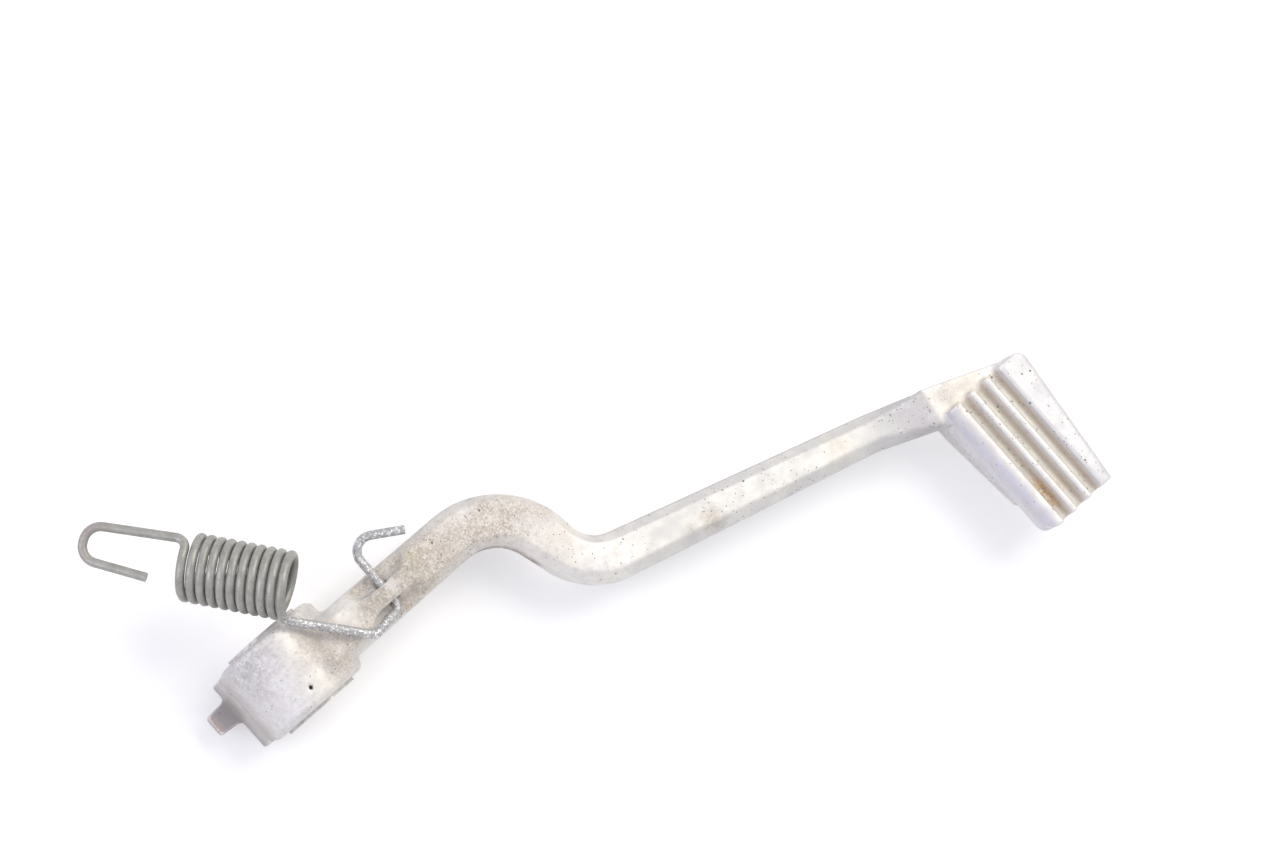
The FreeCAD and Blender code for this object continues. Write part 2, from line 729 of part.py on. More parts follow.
first_spot, first_way = coil_spot(0)
last_spot, last_way = coil_spot(coil_angle)
far_corners = [
    far_corner("far_hook_tip"),
    far_corner("far_hook_low"),
    far_corner("far_hook_top"),
    first_spot - first_way * size("far_leg_offset"),
    first_spot,
]
far_radii = [size("far_hook_bend_radius"), size("far_hook_bend_radius"), size("wire_bend_radius")]
hole_line = Vector(size("spring_hole_x"), 0, size("spring_hole_z"))
near_corners = [
    last_spot,
    last_spot + last_way * size("near_leg_offset"),
    Vector(size("rest_bend_x"), size("rest_bend_y"), size("rest_bend_z")),
    hole_line + Vector(0, size("hole_bend_y"), 0),
    hole_line + Vector(0, size("near_hook_corner_y"), 0),
    Vector(size("near_hook_tip_x"), size("near_hook_tip_y"), size("near_hook_tip_z")),
]
near_radii = [
    size("wire_bend_radius"),
    size("wire_bend_radius"),
    size("wire_bend_radius"),
    size("near_hook_bend_radius"),
]
coil_edges = []
angle = 0
while angle < coil_angle - 1e-6:
    following = min(angle + 180, coil_angle)
    half_way = coil_spot((angle + following) / 2)[0]
    arc_end = coil_spot(following)[0]
    coil_edges.append(Part.Arc(coil_spot(angle)[0], half_way, arc_end).toShape())
    angle = following
path_edges = rounded_path(far_corners, far_radii) + coil_edges
path_edges = path_edges + rounded_path(near_corners, near_radii)
path = Part.Wire(path_edges)
start_way = (far_corners[1] - far_corners[0]).normalize()
wire_up = Vector(0, 0, 1) - start_way * start_way.z
wire_up.normalize()
wire_side = start_way.cross(wire_up)
section_corners = []
for corner in range(int(size("wire_sides")) + 1):
    around = 2 * math.pi * corner / size("wire_sides")
    out = wire_up * math.cos(around) + wire_side * math.sin(around)
    section_corners.append(far_corners[0] + out * size("wire_radius"))
wire_section = Part.makePolygon(section_corners)
sweep = Part.BRepOffsetAPI.MakePipeShell(path)
sweep.setFrenetMode(False)
sweep.add(wire_section)
sweep.build()
sweep.makeSolid()
spring = doc.addObject("Part::Feature", "return_spring")
spring.Label = "return_spring"
spring.Shape = sweep.shape()
doc.recompute()

# Checks and files
for item in doc.Objects:
    if "Invalid" in item.State or "Error" in item.State:
        raise RuntimeError(item.Name + " is in state " + ", ".join(item.State))
for name in ("brake_lever", "pivot_bush_inboard", "pivot_bush_outboard", "return_spring"):
    shape = doc.getObject(name).Shape
    if shape.isNull() or not shape.isValid() or len(shape.Solids) != 1:
        raise RuntimeError(name + " is not one sound solid")
    shape.exportStep("parts/%s.step" % name)
    print(name, round(shape.Volume, 1), shape.BoundBox)
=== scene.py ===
import math

import bpy
from mathutils import Matrix, Vector


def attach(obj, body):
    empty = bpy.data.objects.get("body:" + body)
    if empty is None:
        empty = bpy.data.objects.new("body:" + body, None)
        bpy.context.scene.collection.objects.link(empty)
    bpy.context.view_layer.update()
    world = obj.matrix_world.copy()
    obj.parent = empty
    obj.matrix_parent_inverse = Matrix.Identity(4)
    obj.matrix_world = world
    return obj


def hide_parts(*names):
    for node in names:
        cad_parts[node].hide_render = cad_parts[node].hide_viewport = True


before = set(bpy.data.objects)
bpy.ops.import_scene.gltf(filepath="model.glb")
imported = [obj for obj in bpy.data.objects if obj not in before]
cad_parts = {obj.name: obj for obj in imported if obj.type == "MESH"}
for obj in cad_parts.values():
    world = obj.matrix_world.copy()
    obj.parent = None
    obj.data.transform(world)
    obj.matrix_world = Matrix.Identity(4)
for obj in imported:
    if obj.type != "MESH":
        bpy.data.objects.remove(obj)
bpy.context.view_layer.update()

# Settings of the picture
scene = bpy.context.scene
scene.view_settings.view_transform = "Standard"

MM = 0.001

# Floor: its height in the part's frame, and how far it reaches to each side
FLOOR_LEVEL = -18.3 * MM
FLOOR_REACH = 6.0

# Mesh of the worn lever
CORNER_MERGE = 0.002 * MM
LEVER_VOXEL = 0.62 * MM
SMOOTHING_FACTOR = 0.5
EDGE_SMOOTHING = 2
SCOOP_SMOOTHING = 10
SCOOP_CENTRE = Vector((38.2, -1.0, 9.0)) * MM
SCOOP_REACH = 26.0 * MM
SCOOP_FADE = 2.5

# Slanted inboard edge of the web in plan; under the web nothing stands out past it
WEB_EDGE_START = Vector((215.6, -66.2)) * MM
WEB_EDGE_END = Vector((243.5, -77.0)) * MM
WEB_UNDERSIDE = 5.0 * MM


class Tree:
    """Small helpers that build a node tree. A value is a socket, a number or a colour."""

    def __init__(self, node_tree, output_kind):
        self.nodes = node_tree.nodes
        self.links = node_tree.links
        self.nodes.clear()
        self.output = self.nodes.new(output_kind)

    def feed(self, socket, value):
        if isinstance(value, bpy.types.NodeSocket):
            self.links.new(value, socket)
        elif isinstance(value, tuple):
            socket.default_value = (*value, 1.0)
        else:
            socket.default_value = value

    def show(self, shader):
        self.links.new(shader.outputs[0], self.output.inputs["Surface"])

    def math(self, operation, first, second):
        node = self.nodes.new("ShaderNodeMath")
        node.operation = operation
        self.feed(node.inputs[0], first)
        self.feed(node.inputs[1], second)
        return node.outputs[0]

    def add(self, first, second):
        return self.math("ADD", first, second)

    def sub(self, first, second):
        return self.math("SUBTRACT", first, second)

    def mul(self, first, *others):
        """Product of all values."""
        for other in others:
            first = self.math("MULTIPLY", first, other)
        return first

    def most(self, first, *others):
        """Largest of all values."""
        for other in others:
            first = self.math("MAXIMUM", first, other)
        return first

    def looked_at(self):
        """1 where the camera, a reflection or a view through glass looks, 0 for other light."""
        path = self.nodes.new("ShaderNodeLightPath")
        return self.most(
            path.outputs["Is Camera Ray"],
            path.outputs["Is Glossy Ray"],
            path.outputs["Is Transmission Ray"],
        )


class MaterialTree(Tree):
    """A material's tree. Places and lengths in it are millimetres of the part's own frame."""

    def __init__(self, name):
        self.material = bpy.data.materials.new(name)
        self.material.use_nodes = True
        super().__init__(self.material.node_tree, "ShaderNodeOutputMaterial")
        coordinates = self.nodes.new("ShaderNodeTexCoord")
        scaled = self.nodes.new("ShaderNodeVectorMath")
        scaled.operation = "SCALE"
        self.links.new(coordinates.outputs["Object"], scaled.inputs[0])
        scaled.inputs["Scale"].default_value = 1 / MM
        self.spot = scaled.outputs[0]

    def ramp(self, value, low, high, out_low=0.0, out_high=1.0):
        """Smooth step from out_low at low to out_high at high."""
        node = self.nodes.new("ShaderNodeMapRange")
        node.interpolation_type = "SMOOTHSTEP"
        self.feed(node.inputs["Value"], value)
        self.feed(node.inputs["From Min"], low)
        self.feed(node.inputs["From Max"], high)
        self.feed(node.inputs["To Min"], out_low)
        self.feed(node.inputs["To Max"], out_high)
        return node.outputs["Result"]

    def mix(self, share, first, second):
        """First colour where the share is 0, second where it is 1."""
        node = self.nodes.new("ShaderNodeMix")
        node.data_type = "RGBA"
        self.feed(node.inputs["Factor"], share)
        self.feed(node.inputs[6], first)
        self.feed(node.inputs[7], second)
        return node.outputs[2]

    def split(self, vector):
        node = self.nodes.new("ShaderNodeSeparateXYZ")
        self.links.new(vector, node.inputs[0])
        return node.outputs[0], node.outputs[1], node.outputs[2]

    def geometry(self, output):
        return self.nodes.new("ShaderNodeNewGeometry").outputs[output]

    def noise(self, scale, detail, roughness, seed):
        node = self.nodes.new("ShaderNodeTexNoise")
        node.noise_dimensions = "4D"
        self.links.new(self.spot, node.inputs["Vector"])
        node.inputs["W"].default_value = seed
        node.inputs["Scale"].default_value = scale
        node.inputs["Detail"].default_value = detail
        node.inputs["Roughness"].default_value = roughness
        return node.outputs[0]

    def dots(self, scale, radius, softness, seed):
        """Scattered round spots: 1 inside a spot, 0 outside."""
        node = self.nodes.new("ShaderNodeTexVoronoi")
        node.voronoi_dimensions = "4D"
        self.links.new(self.spot, node.inputs["Vector"])
        node.inputs["W"].default_value = seed
        node.inputs["Scale"].default_value = scale
        return self.ramp(node.outputs["Distance"], radius + softness, radius)

    def near(self, centre, inner, outer):
        """1 within inner of the centre, 0 beyond outer."""
        node = self.nodes.new("ShaderNodeVectorMath")
        node.operation = "DISTANCE"
        self.links.new(self.spot, node.inputs[0])
        node.inputs[1].default_value = centre
        return self.ramp(node.outputs["Value"], outer, inner)

    def near_any(self, zones):
        """Strongest of several round zones: centre, full within, gone beyond, strength."""
        return self.most(*(
            self.mul(self.near(centre, inner, outer), strength)
            for centre, inner, outer, strength in zones
        ))

    def bump(self, height, strength, distance):
        node = self.nodes.new("ShaderNodeBump")
        node.inputs["Strength"].default_value = strength
        node.inputs["Distance"].default_value = distance
        self.links.new(height, node.inputs["Height"])
        return node.outputs[0]

    def surface(self, colour, metallic, roughness, normal):
        shader = self.nodes.new("ShaderNodeBsdfPrincipled")
        self.feed(shader.inputs["Base Color"], colour)
        self.feed(shader.inputs["Metallic"], metallic)
        self.feed(shader.inputs["Roughness"], roughness)
        self.links.new(normal, shader.inputs["Normal"])
        self.show(shader)


# Colours of the lever's skin
PALE_OXIDE = (0.83, 0.805, 0.755)
GREY_OXIDE = (0.70, 0.685, 0.68)
# Painted cool shade on the rear faces: lavender, neck grey and rear rib blue
LAVENDER_SHADE = (0.62, 0.605, 0.655)
NECK_SHADE_GREY = (0.46, 0.45, 0.475)
REAR_RIB_SHADE_BLUE = (0.60, 0.59, 0.68)
WARM_MOTTLE = (0.62, 0.59, 0.555)
COOL_MOTTLE = (0.66, 0.66, 0.69)
SHANK_GREY = (0.64, 0.635, 0.61)
# painted shade on the arm's side turned from the light
SIDE_SHADE_GREY = (0.44, 0.43, 0.415)
FOOT_GREY = (0.42, 0.40, 0.385)
HUB_DULL = (0.58, 0.55, 0.52)
HUB_RUBBED = (0.82, 0.81, 0.79)
TAN = (0.56, 0.485, 0.385)
BROWN = (0.33, 0.265, 0.19)
CREAM_CRUMBS = (0.90, 0.87, 0.82)
REAR_DARK_GREY = (0.47, 0.445, 0.405)
TANG_GREY = (0.34, 0.315, 0.315)
TANG_RUST = (0.55, 0.42, 0.38)
PLATE_WALL_GREY = (0.76, 0.75, 0.755)
BRINK_DARK = (0.47, 0.44, 0.42)
GROOVE_DIRT = (0.90, 0.85, 0.75)
FRONT_RIB_GREY = (0.63, 0.63, 0.655)
# rib walls: brown of dirt and painted shade
RIB_WALL_DIRT_AND_SHADE = (0.58, 0.50, 0.42)
RUST = (0.58, 0.36, 0.13)
RUBBED_EDGE = (0.90, 0.88, 0.85)
SOOT = (0.15, 0.125, 0.11)
# painted shade in the crevice under the first bend
CREVICE_SHADE_BROWN = (0.20, 0.165, 0.14)

# Single stains and rubbed spots of the lever, with some painted shadows and painted highlights:
# centre, reach, strength, colour
SPOT_CORE = 0.15
STAINS_AND_PAINTED_LIGHT = (
    # painted shadow in the valley running from the spring hole towards the hub: this line and the
    # next
    ((35.2, -1.8, 8.0), 7.5, 0.80, (0.28, 0.26, 0.22)),
    ((27.4, -1.2, 10.0), 7.0, 0.65, (0.34, 0.31, 0.26)),
    ((49.6, 2.6, 8.0), 7.0, 0.60, (0.45, 0.42, 0.26)),
    ((48.5, -6.4, 7.0), 9.0, 0.65, (0.40, 0.35, 0.25)),
    ((40.8, -6.7, 6.0), 7.0, 0.60, (0.42, 0.34, 0.27)),
    ((60.0, -3.0, 7.0), 9.0, 0.40, (0.44, 0.38, 0.30)),
    ((8.7, 2.8, 17.0), 11.0, 0.55, (0.58, 0.50, 0.41)),
    ((13.0, -4.2, 15.0), 10.0, 0.50, (0.56, 0.48, 0.40)),
    # painted shadow of the spring's leg where it crosses over the lever
    ((18.0, 10.6, 12.0), 7.0, 0.60, (0.38, 0.36, 0.32)),
    ((92.8, -23.8, 7.0), 6.0, 0.60, (0.50, 0.42, 0.33)),
    # painted highlights: on the bridge over the spring hole, and a streak nearer the hub: this
    # line and the next
    ((40.6, -0.5, 12.0), 5.0, 0.85, (0.93, 0.92, 0.89)),
    ((23.2, 3.6, 12.0), 8.0, 0.75, (0.90, 0.89, 0.86)),
    ((3.0, -8.0, 16.0), 9.0, 0.60, (0.88, 0.86, 0.80)),
    ((7.7, -7.1, 14.5), 6.5, 0.65, (0.33, 0.31, 0.30)),
    ((1.1, -7.8, 13.5), 5.0, 0.45, (0.42, 0.40, 0.39)),
    ((-14.0, 9.5, 17.0), 19.0, 0.90, (0.40, 0.38, 0.39)),
    ((7.3, 1.0, 15.0), 9.0, 0.45, (0.45, 0.42, 0.39)),
    # painted shadow in the same valley as the first two lines
    ((30.0, -1.0, 8.0), 7.0, 0.60, (0.38, 0.35, 0.31)),
    ((224.0, -77.0, 8.5), 8.0, 0.35, (0.70, 0.64, 0.52)),
    ((45.2, -0.6, 7.0), 9.0, 0.60, (0.38, 0.35, 0.31)),
    ((63.5, -3.4, 7.5), 6.0, 0.45, (0.45, 0.39, 0.33)),
    ((230.8, -77.1, 9.0), 7.0, 0.45, (0.68, 0.64, 0.54)),
    ((133.2, -52.2, 6.0), 7.0, 0.65, (0.36, 0.29, 0.20)),
    ((126.0, -50.1, 5.0), 4.0, 0.55, (0.38, 0.31, 0.22)),
    ((181.6, -62.6, 7.0), 9.0, 0.40, (0.60, 0.52, 0.40)),
    ((63.6, 10.2, 8.0), 10.0, 0.60, (0.92, 0.91, 0.89)),
    ((73.2, 2.8, 8.0), 7.0, 0.50, (0.92, 0.91, 0.89)),
    ((87.6, -21.2, 7.5), 15.0, 0.60, (0.93, 0.90, 0.85)),
)

# Round zones of the lever: centre, full within, gone beyond, strength
PATINA_ZONES = (
    ((48.0, -1.0, 8.0), 12.0, 42.0, 1.0),
    ((80.0, -10.0, 6.0), 8.0, 30.0, 1.0),
    ((12.0, -5.0, 14.0), 5.0, 18.0, 0.8),
    ((226.0, -73.0, 8.0), 4.0, 16.0, 0.45),
)
BLOTCH_ZONES = (
    ((42.0, -4.0, 7.0), 3.0, 20.0, 1.0),
    ((76.0, -6.0, 6.0), 2.0, 14.0, 1.0),
)
PIT_ZONES = (
    ((150.0, -55.0, 6.0), 3.0, 26.0, 1.0),
    ((205.0, -70.0, 8.0), 4.0, 20.0, 0.9),
    ((100.0, -28.0, 7.0), 4.0, 26.0, 0.6),
    ((62.0, -1.0, 7.0), 4.0, 30.0, 1.0),
)
PITS_ON_PAD = 0.75

# Large and small pits: the dots, the noise that keeps some of them, the limits of that choice
PIT_SIZES = (
    ((0.45, 0.13, 0.10, 60.0), (0.35, 2.0, 0.5, 62.0), (0.62, 0.70)),
    ((1.0, 0.17, 0.12, 61.0), (0.8, 2.0, 0.5, 63.0), (0.56, 0.66)),
)


class LeverSkin(MaterialTree):
    """Forged aluminium: pale oxide, with dirt, stains, wear, pits, painted shade, painted shadows
    and painted highlights laid over it in turn.
    """

    def __init__(self, name):
        super().__init__(name)
        self.x, self.y, self.z = self.split(self.spot)
        self.facing_x, self.facing_y, self.facing_z = self.split(self.geometry("Normal"))
        # the numbers of a noise: scale to the millimetre, detail, roughness, seed
        self.broad = self.noise(0.045, 3.0, 0.5, 1.0)
        self.cloudy = self.noise(0.16, 6.0, 0.6, 4.0)
        self.fine = self.noise(1.1, 5.0, 0.65, 9.0)
        self.grain = self.noise(4.0, 3.0, 0.6, 12.0)
        self.speck = self.noise(0.7, 6.0, 0.75, 17.0)
        self.mottled = self.noise(0.30, 8.0, 0.72, 41.0)
        self.crumbs = self.noise(1.3, 6.0, 0.75, 27.0)
        self.on_pad = self.mul(self.ramp(self.x, 216.0, 217.5), self.ramp(self.y, -76.0, -78.0))
        self.colour = PALE_OXIDE

    def tint(self, colour, *shares):
        self.colour = self.mix(self.mul(*shares), self.colour, colour)

    def lay_oxide(self):
        self.tint(GREY_OXIDE, self.ramp(self.cloudy, 0.38, 0.70))
        self.tint(GREY_OXIDE, self.ramp(self.speck, 0.52, 0.72, 0.0, 0.35))

    def paint_cool_shade_on_rear(self):
        """Painted cool shade: the rear of the pad, of the hub and of the neck, away from the
        light, is tinted lavender, grey and blue.
        """
        turned_away = self.ramp(self.facing_x, -0.05, -0.75)
        pad_rear = self.mul(turned_away, self.ramp(self.x, 210.0, 217.0))
        hub_rear = self.ramp(self.x, 3.0, -14.0)
        neck_foot = self.mul(
            self.near((203.0, -68.0, 6.0), 3.0, 15.0), self.ramp(self.x, 213.0, 209.0)
        )
        # painted cool shade: lavender where the rear faces turn from the light and on the hub's
        # rear half
        cool = self.most(pad_rear, hub_rear, neck_foot)
        self.tint(LAVENDER_SHADE, cool, self.ramp(self.cloudy, 0.35, 0.65, 0.9, 0.2), 0.8)

        # painted shade: grey over the neck
        across_neck = self.add(self.x, self.mul(self.y, -0.15))
        neck = self.mul(
            self.near((207.0, -71.0, 7.0), 9.0, 24.0), self.ramp(across_neck, 226.7, 224.7)
        )
        self.tint(NECK_SHADE_GREY, neck, self.ramp(self.mottled, 0.40, 0.60, 0.65, 0.95))

        # painted shade: blue on the rear rib's faces turned from the light
        turned = self.ramp(self.facing_x, -0.05, -0.6)
        rear_rib = self.mul(self.ramp(self.x, 214.5, 216.5), self.ramp(self.x, 222.0, 220.5))
        patchy = self.ramp(self.cloudy, 0.3, 0.6, 0.4, 0.9)
        self.tint(REAR_RIB_SHADE_BLUE, turned, rear_rib, patchy)

    def mottle(self):
        """Warm and cool mottling of the whole skin."""
        self.tint(WARM_MOTTLE, self.ramp(self.mottled, 0.45, 0.62, 0.0, 0.5))
        self.tint(COOL_MOTTLE, self.ramp(self.mottled, 0.46, 0.36, 0.0, 0.5))

    def dull_and_shade_the_arm(self):
        """The shank is duller; painted shade greys the side turned from the light, and the arm's
        foot is grey.
        """
        shank = self.mul(self.ramp(self.x, 100.0, 118.0), self.ramp(self.x, 206.0, 198.0))
        self.tint(SHANK_GREY, shank, self.ramp(self.cloudy, 0.35, 0.65, 0.50, 0.80))

        # painted shade: grey on the side turned from the light
        shaded_side = self.mul(self.ramp(self.facing_y, 0.30, 0.80), self.ramp(self.x, 25.0, 45.0))
        steep = self.ramp(self.facing_z, 0.50, 0.20)
        up_to_bend = self.ramp(self.x, 112.0, 96.0, 0.15, 0.6)
        patchy = self.ramp(self.mottled, 0.35, 0.60, 0.45, 0.85)
        self.tint(SIDE_SHADE_GREY, shaded_side, self.most(steep, up_to_bend), patchy)

        along = self.mul(self.ramp(self.x, 50.0, 70.0), self.ramp(self.x, 206.0, 196.0))
        self.tint(FOOT_GREY, self.ramp(self.z, -2.0, -4.5), along, 0.55)

    def fleck_the_hub(self):
        on_hub = self.ramp(self.x, 26.0, 14.0)
        self.tint(HUB_DULL, on_hub, self.ramp(self.speck, 0.50, 0.60, 0.0, 0.5))
        self.tint(HUB_RUBBED, on_hub, self.ramp(self.speck, 0.46, 0.38, 0.0, 0.5))

    def lay_patina(self):
        """Tan patina round the spring hole, over the first bend and on the web."""
        uneven = self.ramp(self.noise(0.20, 8.0, 0.72, 21.0), 0.30, 0.60, 0.25, 1.0)
        lying = self.ramp(self.facing_z, 0.55, 0.85, 0.35, 1.0)
        self.patina = self.mul(self.near_any(PATINA_ZONES), uneven, lying)
        self.tint(TAN, self.patina, 0.8)
        self.tint(CREAM_CRUMBS, self.patina, self.ramp(self.crumbs, 0.51, 0.57, 0.0, 0.85))
        self.tint(BROWN, self.patina, self.ramp(self.crumbs, 0.45, 0.39, 0.0, 0.75))

    def lay_stains_and_painted_light(self):
        ragged = self.mul(
            self.ramp(self.noise(0.45, 8.0, 0.72, 71.0), 0.36, 0.58, 0.15, 1.0),
            self.ramp(self.crumbs, 0.57, 0.44, 0.55, 1.0),
        )
        # stains and rubbed spots, and painted shadows and highlights, from the table
        for centre, reach, strength, mark_colour in STAINS_AND_PAINTED_LIGHT:
            self.tint(mark_colour, self.near(centre, reach * SPOT_CORE, reach), ragged, strength)

    def lay_blotches(self):
        """Darker brown blotches inside the patina."""
        uneven = self.ramp(self.noise(0.55, 8.0, 0.75, 33.0), 0.50, 0.62)
        self.tint(BROWN, self.near_any(BLOTCH_ZONES), uneven, 0.5)

    def darken_the_rear(self):
        """The rear wall of the hub and the stop block are darker grey; the tang is darker still.
        """
        rear = self.ramp(self.x, -16.6, -18.6)
        self.rear_darkening = self.mul(rear, self.ramp(self.cloudy, 0.30, 0.55, 0.55, 1.0))
        self.tint(REAR_DARK_GREY, self.rear_darkening, 0.8)
        self.tint(TANG_GREY, self.ramp(self.x, -19.2, -20.8), 0.9)
        tang_end = self.ramp(self.x, -25.0, -27.5)
        self.tint(TANG_RUST, tang_end, self.ramp(self.fine, 0.35, 0.6, 0.4, 1.0), 0.7)

    def darken_the_plate(self):
        """The plate's rear wall is an even grey, darker along its lower brink."""
        plate_side = self.ramp(self.y, -76.5, -79.0)
        wall = self.mul(self.ramp(self.x, 198.0, 214.0), self.ramp(self.z, 8.0, 6.5))
        patchy = self.ramp(self.cloudy, 0.35, 0.62, 1.0, 0.6)
        not_inboard = self.ramp(self.facing_y, 0.1, 0.6, 1.0, 0.35)
        not_outboard = self.ramp(self.facing_y, -0.5, -0.1)
        self.tint(PLATE_WALL_GREY, wall, patchy, not_inboard, not_outboard, plate_side, 0.9)
        brink = self.mul(plate_side, self.ramp(self.x, 200.0, 212.0), self.ramp(self.z, 4.0, 2.4))
        self.tint(BRINK_DARK, brink, self.ramp(self.speck, 0.40, 0.60, 0.25, 0.60))

    def dirty_and_shade_the_pad(self):
        """Cream dirt on the groove floors, rear walls of the ribs brown with dirt and painted
        shade, one rusty run.
        """
        floors = self.mul(self.on_pad, self.ramp(self.z, 10.2, 8.9), self.ramp(self.z, 7.6, 8.2))
        self.tint(GROOVE_DIRT, floors, self.ramp(self.speck, 0.35, 0.65, 0.35, 0.8))

        front_rib = self.mul(self.on_pad, self.ramp(self.x, 238.0, 240.0))
        self.tint(FRONT_RIB_GREY, front_rib, self.ramp(self.speck, 0.40, 0.60, 0.35, 0.85))

        # brown of dirt and painted shade on the rib walls turned from the light
        facing_rear = self.ramp(self.facing_x, -0.45, -0.85)
        past_rear_rib = self.ramp(self.x, 221.0, 223.0)
        wall_height = self.mul(self.ramp(self.z, 8.2, 9.0), self.ramp(self.z, 11.9, 10.3))
        patchy = self.ramp(self.fine, 0.30, 0.65, 0.35, 0.8)
        self.tint(RIB_WALL_DIRT_AND_SHADE, self.on_pad, facing_rear, past_rear_rib, wall_height, patchy)

        run = self.mul(self.near((223.6, -119.0, 9.0), 2.2, 9.0), self.ramp(self.z, 11.5, 9.5))
        self.tint(RUST, run, self.ramp(self.fine, 0.35, 0.6), 0.8)

    def wear_edges(self):
        """Hollows hold dirt, edges are rubbed bright."""
        pointy = self.geometry("Pointiness")
        dirty = self.most(self.patina, self.on_pad, self.ramp(self.x, 22.0, 12.0))
        self.tint(BROWN, self.ramp(pointy, 0.487, 0.462), dirty, 0.35)
        edge = self.ramp(pointy, 0.515, 0.56)
        self.tint(RUBBED_EDGE, edge, self.ramp(self.fine, 0.35, 0.6, 0.2, 0.75))

    def lay_pits(self):
        """Dark pits: scattered on the arm, dense in a few places."""
        cluster = self.most(self.near_any(PIT_ZONES), self.mul(self.on_pad, PITS_ON_PAD))
        spread = self.ramp(self.noise(0.12, 3.0, 0.6, 50.0), 0.45, 0.75, 0.0, 0.5)
        density = self.mul(self.add(self.mul(cluster, 0.5), spread), 0.34)
        self.pits = self.most(*(
            self.mul(self.dots(*dots), self.ramp(self.add(self.noise(*choice), density), *limits))
            for dots, choice, limits in PIT_SIZES
        ))
        self.tint(SOOT, self.pits, 0.82)

    def shade_crevice(self):
        """Painted shade in the crevice under the inner side of the first bend."""
        inner_side = self.near((66.0, -24.9, 2.0), 15.4, 17.0)
        low = self.mul(self.ramp(self.x, 68.0, 72.0), self.ramp(self.z, 3.5, 0.5))
        patchy = self.ramp(self.cloudy, 0.32, 0.58, 0.45, 1.0)
        self.tint(CREVICE_SHADE_BROWN, inner_side, low, patchy, 0.75)

    def finish(self):
        """Patina and pits are rougher, they and the darker rear less metallic; the grain and the
        pits stand in relief.
        """
        rough = self.ramp(self.cloudy, 0.3, 0.7, 0.42, 0.60)
        rough = self.add(rough, self.mul(self.most(self.patina, self.pits), 0.2))
        dull = self.most(self.patina, self.rear_darkening, self.pits)
        metal = self.sub(0.38, self.mul(dull, 0.33))
        height = self.add(self.mul(self.fine, 0.5), self.mul(self.grain, 0.28))
        height = self.sub(height, self.mul(self.pits, 0.9))
        height = self.add(height, self.mul(self.broad, 0.8))
        self.surface(self.colour, metal, rough, self.bump(height, 0.55, 0.22 * MM))


def forged_aluminium():
    skin = LeverSkin("forged_aluminium")
    skin.lay_oxide()
    skin.paint_cool_shade_on_rear()
    skin.mottle()
    skin.dull_and_shade_the_arm()
    skin.fleck_the_hub()
    skin.lay_patina()
    skin.lay_stains_and_painted_light()
    skin.lay_blotches()
    skin.darken_the_rear()
    skin.darken_the_plate()
    skin.dirty_and_shade_the_pad()
    skin.wear_edges()
    skin.lay_pits()
    skin.shade_crevice()
    skin.finish()
    return skin.material


BUSH_PALE = (0.66, 0.65, 0.63)
BUSH_DULL = (0.50, 0.48, 0.45)


def worn_bush():
    t = MaterialTree("bush_steel")
    cloudy = t.noise(0.5, 5.0, 0.6, 3.0)
    colour = t.mix(t.ramp(cloudy, 0.35, 0.65), BUSH_PALE, BUSH_DULL)
    rough = t.ramp(cloudy, 0.3, 0.7, 0.35, 0.6)
    normal = t.bump(t.noise(2.5, 4.0, 0.6, 5.0), 0.4, 0.1 * MM)
    t.surface(colour, 0.35, rough, normal)
    return t.material


WIRE_OLIVE = (0.37, 0.37, 0.34)
WIRE_DARK = (0.285, 0.28, 0.255)
WIRE_DUST = (0.58, 0.57, 0.53)
HOOK_GREY = (0.45, 0.45, 0.465)
HOOK_BRIGHT = (0.95, 0.95, 0.94)
HOOK_SCUFFED = (0.22, 0.215, 0.22)
FAR_HOOK_TINT = (0.42, 0.33, 0.32)


def spring_wire():
    """Dark grey-olive wire, with bright worn speckles towards the lever."""
    t = MaterialTree("spring_wire")
    x, y, _ = t.split(t.spot)
    cloudy = t.noise(0.35, 5.0, 0.62, 2.0)
    fine = t.noise(2.2, 4.0, 0.6, 7.0)
    colour = t.mix(t.ramp(cloudy, 0.35, 0.68), WIRE_OLIVE, WIRE_DARK)
    colour = t.mix(t.ramp(fine, 0.50, 0.70, 0.0, 0.4), colour, WIRE_DUST)

    hook = t.most(t.ramp(y, 17.0, 11.0), t.ramp(x, 30.0, 34.0))
    speckle = t.ramp(t.noise(1.2, 4.0, 0.8, 14.0), 0.52, 0.58)
    bright = t.mul(hook, speckle)
    scuffed = t.mul(hook, t.ramp(t.noise(0.9, 4.0, 0.75, 19.0), 0.55, 0.62))
    colour = t.mix(t.mul(hook, 0.7), colour, HOOK_GREY)
    colour = t.mix(t.mul(bright, 0.9), colour, HOOK_BRIGHT)
    colour = t.mix(t.mul(scuffed, 0.6), colour, HOOK_SCUFFED)

    far_hook = t.mul(t.near((-24.0, 74.0, 12.0), 4.0, 20.0), t.ramp(cloudy, 0.35, 0.6))
    colour = t.mix(t.mul(far_hook, 0.35), colour, FAR_HOOK_TINT)

    rough = t.sub(t.ramp(cloudy, 0.3, 0.7, 0.34, 0.5), t.mul(bright, 0.12))
    metal = t.ramp(bright, 0.0, 1.0, 0.35, 0.7)
    height = t.add(t.mul(fine, 0.6), t.mul(bright, 0.5))
    t.surface(colour, metal, rough, t.bump(height, 0.5, 0.1 * MM))
    return t.material


def wear(object_, material):
    object_.data.materials.clear()
    object_.data.materials.append(material)


def worn_copy(source, name):
    """A piece with the mesh of a solid, doubled corners joined, to be softened and worn."""
    piece = bpy.data.objects.new(name, source.data.copy())
    scene.collection.objects.link(piece)
    weld = piece.modifiers.new("joined corners", "WELD")
    weld.merge_threshold = CORNER_MERGE
    return piece


